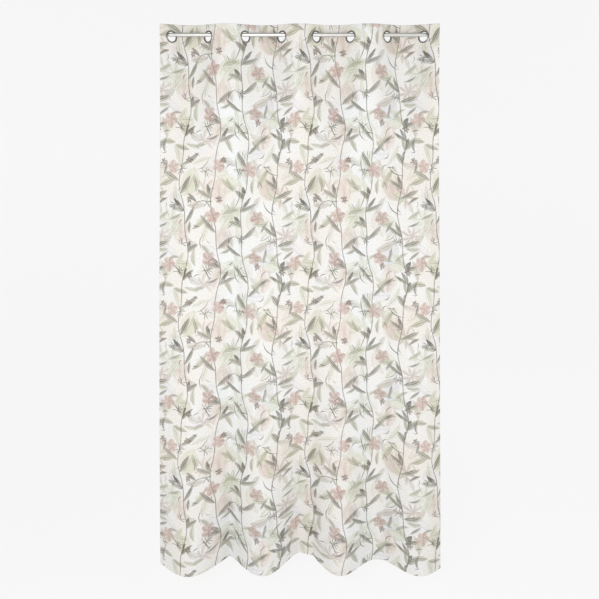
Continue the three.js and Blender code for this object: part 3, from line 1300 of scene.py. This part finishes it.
    def plies(self, x: Array, z: Array) -> Array:
        """Counts the cloth's layers.

        Args:
            x: Places across the header.
            z: Heights.

        Returns:
            1 where the cloth is single, and 2 where a hem or the heading is turned.
        """
        side = np.abs(x) >= self.edge - self.side_hem - self.rounding
        foot = z <= self.hem_top + self.rounding
        head = z >= self.heading_foot - self.rounding
        return np.where(side | foot | head, 2.0, 1.0)

    def columns(self) -> Array:
        """Places across the header where the mesh has a column, closer at the eyelets.

        Returns:
            The places, from left to right.
        """
        inner = self.edge - self.side_hem
        marks = [-self.edge, -self.edge + self.soft_edge, -inner]
        run_on(marks, -inner + self.hem_step, 2)
        for place in EYELET_PLACES:
            start, end = max(place - self.near_eyelet, marks[-1]), place + self.near_eyelet
            if start > marks[-1]:
                run_on(marks, start, max(1, round((start - marks[-1]) / self.wide_column)))
            run_on(marks, end, round((end - start) / self.close_column))
        stop = inner - self.hem_step
        run_on(marks, stop, max(1, round((stop - marks[-1]) / self.wide_column)))
        run_on(marks, inner, 2)
        return np.array([*marks, self.edge - self.soft_edge, self.edge])

    def rows(self) -> Array:
        """Heights where the mesh has a row, closer at seams and edges.

        Returns:
            The heights, from the top down.
        """
        marks = [self.top_rise]
        for to, count in (
            (self.top_rise - self.soft_edge, 1),
            (self.heading_foot + self.seam_rows, 24),
            (self.heading_foot - self.hem_step, 7),
            (self.upper_end, 38),
            (self.hem_top + self.hem_step, 96),
            (self.hem_top - self.seam_rows, 7),
            (self.hem_z + self.soft_edge, 5),
            (self.hem_z, 1),
        ):
            run_on(marks, to, count)
        return np.array(marks)

    def open_holes(self, x: Array, z: Array) -> Array:
        """Moves the mesh's corners onto the eyelet holes' edges, and finds the quads inside.

        Args:
            x: The corners' places across the header, changed in place.
            z: The corners' heights, changed in place.

        Returns:
            True for each quad that stays.
        """
        middle_x = (x[:-1, :-1] + x[1:, 1:]) / 2.0
        middle_z = (z[:-1, :-1] + z[1:, 1:]) / 2.0
        squeeze = math.cos(math.atan(self.flank_slope))
        stays = np.ones(middle_x.shape, bool)
        for place in EYELET_PLACES:
            away = np.hypot((middle_x - place) / squeeze, middle_z + self.eyelet_drop)
            inside = away < self.hole_radius
            stays &= ~inside
            corner_in = np.zeros(x.shape, bool)
            corner_out = np.zeros(x.shape, bool)
            for row in (slice(0, -1), slice(1, None)):
                for column in (slice(0, -1), slice(1, None)):
                    corner_in[row, column] |= inside
                    corner_out[row, column] |= ~inside
            edge = corner_in & corner_out
            across = (x[edge] - place) / squeeze
            up = z[edge] + self.eyelet_drop
            reach = self.hole_radius / np.hypot(across, up)
            x[edge] = place + across * reach * squeeze
            z[edge] = up * reach - self.eyelet_drop
        return stays

    def flat_place(self, x: Array, z: Array) -> Array:
        """Places on the flat cloth, in metres, which the print and the weave follow."""
        return np.stack([x * self.flat_width / self.header_width, z], axis=-1)

    def turned_place(self, x: Array, z: Array) -> tuple:
        """Places on the flat cloth for a quad of the back, and the face that shows there.

        Args:
            x: The quad's places across the header.
            z: The quad's heights.

        Returns:
            The places, mirrored over the fold where a hem is turned, and the face.
        """
        if z.mean() > self.heading_foot:
            return self.flat_place(x, 2.0 * self.top_rise - z), Face.PRINTED
        if z.mean() < self.hem_top:
            return self.flat_place(x, 2.0 * self.hem_z - z), Face.PRINTED
        if abs(x.mean()) > self.edge - self.side_hem:
            return self.flat_place(2.0 * math.copysign(self.edge, x.mean()) - x, z), Face.PRINTED
        return self.flat_place(x, z), Face.REVERSE

    def rim_point(self, spot: tuple, front: Array, back: Array) -> Array:
        """The point of a rounded rim between the front and the back.

        Args:
            spot: The row and column of the corner.
            front: The front's points.
            back: The back's points.

        Returns:
            The point, pushed out from the cloth's outer edges by nearly half its thickness.
        """
        inner = tuple(min(max(at, 1), last - 2) for at, last in zip(spot, front.shape))
        middle = (front[spot] + back[spot]) / 2.0
        outward = front[spot] - front[inner]
        length = np.linalg.norm(outward)
        if length < self.rounding:
            return middle
        return middle + outward / length * np.linalg.norm(back[spot] - front[spot]) * self.rim_push

    def quads(self, x: Array, z: Array, stays: Array, faces: FaceList) -> list:
        """Adds the front's and the back's faces.

        Args:
            x: The corners' places across the header.
            z: The corners' heights.
            stays: True for each quad that is built.
            faces: The faces so far.

        Returns:
            The sides of the quads that lie on a rim, each as its two corners.
        """
        number = np.arange(x.size).reshape(x.shape)
        flat = self.flat_place(x, z)
        rims = []
        for row, column in np.argwhere(stays).tolist():
            spots = [(row, column), (row + 1, column), (row + 1, column + 1), (row, column + 1)]
            faces.add([int(number[spot]) for spot in spots], [flat[spot] for spot in spots], Face.PRINTED)
            spots_behind = spots[::-1]
            xs, zs = (np.array([values[spot] for spot in spots_behind]) for values in (x, z))
            places, face = self.turned_place(xs, zs)
            faces.add([int(number[spot]) + x.size for spot in spots_behind], list(places), face)
            beside = [(row, column - 1), (row + 1, column), (row, column + 1), (row - 1, column)]
            for side, near in enumerate(beside):
                within = all(0 <= at < end for at, end in zip(near, stays.shape))
                if not (within and stays[near]):
                    rims.append((spots[side], spots[(side + 1) % 4]))
        return rims

    def build(self) -> Piece:
        """Builds the sheet: its front, its back and the rims that join them.

        Returns:
            The cloth.
        """
        x, z = np.meshgrid(self.columns(), self.rows())
        stays = self.open_holes(x, z)
        middle, away = self.points(x, z), self.backward(x, z)
        pushed, pulled = self.ripples(x, z), self.seams(x, z)
        front = middle + away * (pushed - self.thickness / 2.0 + pulled)[..., None]
        deep = self.thickness * (self.plies(x, z) - 0.5)
        back = middle + away * (pushed + deep - pulled)[..., None]
        faces = FaceList()
        rims = self.quads(x, z, stays, faces)
        flat = self.flat_place(x, z)
        number = np.arange(x.size).reshape(x.shape)
        spots = list(dict.fromkeys(spot for rim in rims for spot in rim))
        middles = {spot: 2 * x.size + extra for extra, spot in enumerate(spots)}
        for start, end in rims:
            first, second = int(number[start]), int(number[end])
            places = [flat[end], flat[start], flat[start], flat[end]]
            faces.add([second, first, middles[start], middles[end]], places, Face.PRINTED)
            faces.add([middles[end], middles[start], first + x.size, second + x.size], places, Face.PRINTED)
        rim_points = np.array([self.rim_point(spot, front, back) for spot in spots])
        points = np.concatenate([front.reshape(-1, 3), back.reshape(-1, 3), rim_points])
        cloth = mesh_piece("curtain_cloth", points, faces.corners)
        with editing(cloth):
            bpy.ops.mesh.delete_loose(use_verts=True, use_edges=True, use_faces=False)
        layer_map = cloth.data.uv_layers.new(name=self.MAP_NAME)
        layer_map.data.foreach_set("uv", np.array(faces.places).ravel())
        cloth.data.polygons.foreach_set("material_index", faces.slots)
        only(cloth)
        bpy.ops.object.shade_smooth()
        return cloth


@dataclass
class Stitching:
    """The rows of lock stitches that hold the turned hems and the heading."""

    cloth: Cloth
    length: float = 0.0031
    spacing: float = 0.0040
    radius: float = 0.00028
    proud: float = 0.00012
    from_edge: float = 0.004
    samples: int = 4000

    def run(self, line: float, across: bool) -> tuple:
        """Spaces the stitches of one row evenly along the hung cloth.

        Args:
            line: The row's place.
            across: True where that is a place across the cloth, and False where it is a height.

        Returns:
            The stitches' places across the header, their heights, and the way that they run.
        """
        cloth = self.cloth
        if across:
            up = np.arange(cloth.hem_z + self.from_edge, cloth.top_rise - self.from_edge, self.spacing)
            return np.full(up.shape, line), up, np.tile([0.0, 1.0], (len(up), 1))
        fine = np.linspace(-cloth.edge + self.from_edge, cloth.edge - self.from_edge, self.samples)
        curve = cloth.points(fine, np.full(fine.shape, line))
        lengths = np.concatenate([[0.0], np.linalg.norm(np.diff(curve, axis=0), axis=1).cumsum()])
        places = np.interp(np.arange(0.0, lengths[-1], self.spacing), lengths, fine)
        return places, np.full(places.shape, line), np.tile([1.0, 0.0], (len(places), 1))

    def build(self) -> Piece:
        """Builds every stitch of the front and the back as one joined mesh.

        Returns:
            The stitches.
        """
        cloth = self.cloth
        runs = [self.run(line, across) for line, across in cloth.seam_lines()]
        x, z, way = (np.concatenate(parts) for parts in zip(*runs))
        away = cloth.backward(x, z)
        step_x, step_z = way[:, 0] * PROBE, way[:, 1] * PROBE
        along = cloth.points(x + step_x, z + step_z) - cloth.points(x - step_x, z - step_z)
        along /= np.linalg.norm(along, axis=1, keepdims=True)
        beside = np.cross(along, away)
        middle = cloth.points(x, z)
        pushed, pulled = cloth.ripples(x, z), cloth.seams(x, z)
        front = pushed - cloth.thickness / 2.0 + pulled - self.proud
        back = pushed + cloth.thickness * 1.5 - pulled + self.proud
        points, faces = [], []
        for depth in (front, back):
            centre = middle + away * depth[:, None]
            tip = along * self.length / 2.0
            waist = [centre + out * self.radius for out in (beside, away, -beside, -away)]
            ring = [centre - tip, *waist, centre + tip]
            start = sum(len(group) for group in points)
            points.append(np.stack(ring, axis=1).reshape(-1, 3))
            for base in range(start, start + len(ring) * len(x), len(ring)):
                for side in range(4):
                    this, after = base + 1 + side, base + 1 + (side + 1) % 4
                    faces += [[base, after, this], [base + 5, this, after]]
        stitches = mesh_piece("hem_stitching", np.concatenate(points), faces)
        with editing(stitches):
            bpy.ops.mesh.normals_make_consistent(inside=False)
        return stitches


@dataclass
class Eyelet:
    """One pressed eyelet: two crowned flanges joined by a neck through the cloth."""

    bore: float = 0.0200
    neck: float = 0.0216
    flange: float = 0.0265
    crown: float = 0.0018
    clearance: float = 0.05 * MM
    arc_points: int = 9
    turns: int = 72

    def section(self, cloth: Cloth) -> list:
        """The outline that is spun.

        Args:
            cloth: The cloth that the eyelet clamps.

        Returns:
            Radius and depth of each point, from the bore over both flanges.
        """
        front = -cloth.thickness / 2.0 - self.clearance
        back = cloth.thickness * 1.5 + self.clearance
        middle = (self.bore + self.flange) / 2.0
        half = (self.flange - self.bore) / 2.0
        swing = np.linspace(math.pi, 0.0, self.arc_points)
        over_front = [(middle + half * math.cos(a), front - self.crown * math.sin(a)) for a in swing]
        over_back = [(middle + half * math.cos(a), back + self.crown * math.sin(a)) for a in swing[::-1]]
        return [*over_front, (self.neck, front), (self.neck, back), *over_back]

    def build(self, cloth: Cloth) -> Piece:
        """Spins one eyelet about the Y axis at the origin.

        Args:
            cloth: The cloth that it clamps.

        Returns:
            The eyelet's object, to copy.
        """
        outline = self.section(cloth)
        bpy.ops.object.select_all(action="DESELECT")
        bpy.ops.mesh.primitive_circle_add(vertices=len(outline), radius=self.flange, fill_type="NOTHING")
        ring = bpy.context.active_object
        for vertex, (radius, depth) in zip(ring.data.vertices, outline):
            vertex.co = (radius, depth, 0.0)
        with editing(ring):
            spin_closed(self.turns, (0, 1, 0), 0.01 * MM)
        bpy.ops.object.shade_smooth_by_angle(angle=math.radians(50.0))
        return ring

    def place_all(self, cloth: Cloth) -> list:
        """Sets a copy of the eyelet on each flank of the heading.

        Args:
            cloth: The cloth that they clamp.

        Returns:
            The eyelets, from left to right.
        """
        pattern = self.build(cloth)
        rings = []
        for number, place in enumerate(EYELET_PLACES, 1):
            ring = pattern.copy()
            ring.data = pattern.data.copy()
            ring.name = f"eyelet_ring_{number}"
            bpy.context.scene.collection.objects.link(ring)
            turn = math.atan(cloth.flank_slope if number % 2 == 1 else -cloth.flank_slope)
            where = Matrix.Translation((place, 0.0, -cloth.eyelet_drop))
            ring.data.transform(where @ Matrix.Rotation(turn, 4, "Z"))
            rings.append(ring)
        bpy.data.objects.remove(pattern)
        return rings


@dataclass
class Rod:
    """The plain round rod with flat plugged ends."""

    length: float = 1.188
    radius: float = 0.008
    sides: int = 64
    chamfer: float = 0.001
    plug_inset: float = 0.0011
    plug_depth: float = 0.0004

    def build(self) -> Piece:
        """Models the rod along X: a cylinder with eased ends and a shallow plug in each.

        Returns:
            The rod.
        """
        bpy.ops.object.select_all(action="DESELECT")
        bpy.ops.mesh.primitive_cylinder_add(
            vertices=self.sides, radius=self.radius, depth=self.length, rotation=(0.0, math.pi / 2.0, 0.0)
        )
        rod = bpy.context.active_object
        bpy.ops.object.transform_apply(location=True, rotation=True, scale=True)
        rod.name = "curtain_rod"
        end = self.length / 2.0 - 0.01 * MM
        with editing(rod):
            bpy.ops.mesh.select_mode(type="FACE")
            pick_faces(rod, lambda face: abs(face.normal.x) > 0.9)
            bpy.ops.mesh.bevel(offset=self.chamfer, segments=3, affect="EDGES")
            pick_faces(rod, lambda face: abs(face.normal.x) > 0.99 and abs(face.center.x) > end)
            bpy.ops.mesh.inset(thickness=self.plug_inset, depth=0.0, use_individual=True)
            bpy.ops.mesh.inset(thickness=self.plug_depth, depth=-self.plug_depth, use_individual=True)
        bpy.ops.object.shade_smooth_by_angle(angle=math.radians(35.0))
        return rod


@dataclass(frozen=True)
class Lamp:
    """A soft square light: where it stands and aims, its side in metres and its power in watts."""

    name: str
    place: tuple
    aim: tuple
    size: float
    power: float

    def build(self) -> None:
        """Adds the light."""
        bpy.ops.object.light_add(type="AREA", location=self.place)
        light = bpy.context.active_object
        light.name = self.name
        light.data.shape = "SQUARE"
        light.data.size = self.size
        light.data.energy = self.power
        way = Vector(self.aim) - Vector(self.place)
        light.rotation_euler = way.to_track_quat("-Z", "Y").to_euler()


LAMPS = (
    Lamp("key", (-0.6, -2.7, -0.85), (0.0, 0.0, -0.9), 1.2, 36.0),
    Lamp("side", (2.2, -1.5, -0.9), (0.3, 0.0, -0.9), 1.2, 9.0),
    Lamp("fill", (2.4, 3.6, 1.2), (0.0, 0.0, -1.0), 2.6, 25.0),
)


@dataclass
class Studio:
    """A pale round sweep, soft light and the camera."""

    floor_z: float = -2.62
    floor_reach: float = 5.0
    bend: float = 2.5
    bend_steps: int = 12
    sweep_top: float = 3.0
    sweep_steps: int = 96
    paper: float = 0.15
    paper_glow: float = 0.81
    air_glow: float = 0.5
    camera_place: tuple = (0.0, -3.0, -0.707)
    camera_dip: float = 6.649
    lens: float = 39.943
    sensor: float = 36.0
    shift: float = -0.04

    def build_sweep(self) -> Piece:
        """Spins a floor that bends up all round.

        Returns:
            The sweep.
        """
        profile = [(0.0, self.floor_z), (self.floor_reach, self.floor_z)]
        for step in range(1, self.bend_steps + 1):
            angle = math.pi / 2.0 * step / self.bend_steps
            rise = self.bend * (1.0 - math.cos(angle))
            profile.append((self.floor_reach + self.bend * math.sin(angle), self.floor_z + rise))
        profile.append((self.floor_reach + self.bend, self.sweep_top))
        sweep = mesh_piece("studio_sweep", np.array([(r, 0.0, z) for r, z in profile]), [])
        sweep.data.edges.add(len(profile) - 1)
        for number, edge in enumerate(sweep.data.edges):
            edge.vertices = (number, number + 1)
        with editing(sweep):
            spin_closed(self.sweep_steps, (0, 0, 1), MM, inward=True)
        bpy.ops.object.shade_smooth()
        return sweep

    def paper_finish(self) -> Material:
        """Makes a matt pale finish that glows a little, as a lit paper sweep does.

        Returns:
            The material.
        """
        finish = Finish("studio_paper")
        finish.shade({
            "Base Color": (self.paper, self.paper, self.paper, 1.0),
            "Roughness": 1.0,
            "Specular IOR Level": 0.0,
            "Emission Color": WHITE,
            "Emission Strength": self.paper_glow,
        })
        return finish.material

    def build(self) -> None:
        """Sets up the sweep, the lights and the camera."""
        sweep = self.build_sweep()
        sweep.data.materials.append(self.paper_finish())
        for lamp in LAMPS:
            lamp.build()
        world = bpy.data.worlds.new("studio_air")
        world.use_nodes = True
        air = world.node_tree.nodes["Background"].inputs
        air["Color"].default_value, air["Strength"].default_value = WHITE, self.air_glow
        bpy.context.scene.world = world
        bpy.context.scene.view_settings.view_transform = "Standard"
        tilt = math.radians(90.0 - self.camera_dip)
        bpy.ops.object.camera_add(location=self.camera_place, rotation=(tilt, 0.0, 0.0))
        camera = bpy.context.active_object
        camera.data.lens = self.lens
        camera.data.sensor_width = self.sensor
        camera.data.shift_y = self.shift
        bpy.context.scene.camera = camera
        log.info("studio: %d lights, %.1f mm lens", len(LAMPS), self.lens)


class Curtain:
    """The whole object: rod, eyelets, cloth and stitching, with their finishes."""

    def __init__(self) -> None:
        """Makes the cloth's sizes and the group that the steel finishes share."""
        self.cloth = Cloth()
        self.brushed = brushed_tree()

    def dress(self, piece: Piece, materials: list, replaced: tuple = ()) -> None:
        """Gives a piece its materials, hides the CAD nodes that it stands for, and lets it ride on the body.

        Args:
            piece: The finished piece.
            materials: Its materials, in the order of its faces' slots.
            replaced: The CAD nodes that it stands for.
        """
        slots = [face.material_index for face in piece.data.polygons]
        piece.data.materials.clear()
        for material in materials:
            piece.data.materials.append(material)
        if len(materials) > 1:
            piece.data.polygons.foreach_set("material_index", slots)
        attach(piece, BODY)
        if replaced:
            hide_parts(*replaced)
        log.info("%s: %d faces", piece.name, len(piece.data.polygons))

    def build_rod(self) -> None:
        """Builds the rod in place of its CAD node."""
        self.dress(Rod().build(), [ROD_STEEL.material(self.brushed)], ("rod",))

    def build_eyelets(self) -> list:
        """Builds the eyelets in place of their CAD nodes.

        Returns:
            The eyelets, from left to right.
        """
        material = EYELET_STEEL.material(self.brushed)
        rings = Eyelet().place_all(self.cloth)
        for number, ring in enumerate(rings, 1):
            self.dress(ring, [material], (f"eyelet_{number}",))
        return rings

    def build_cloth(self, rings: list) -> None:
        """Builds the cloth and its stitching in place of the heading and the panel.

        Args:
            rings: The eyelets that it hangs from; not used.
        """
        pattern = LeafPrint().build()
        finish = ClothFinish()
        weave = finish.weave_tree()
        sheet = self.cloth.build()
        faces = [finish.material(face, pattern, weave) for face in Face]
        self.dress(sheet, faces, ("heading", "panel"))
        stitches = Stitching(self.cloth).build()
        self.dress(stitches, [ThreadFinish().material()])

    def build(self) -> None:
        """Builds every piece."""
        self.build_rod()
        self.build_cloth(self.build_eyelets())


def main() -> None:
    """Builds the curtain and the studio."""
    logging.basicConfig(level=logging.INFO, format="%(name)s %(message)s")
    Curtain().build()
    Studio().build()


if __name__ == "__main__":
    main()
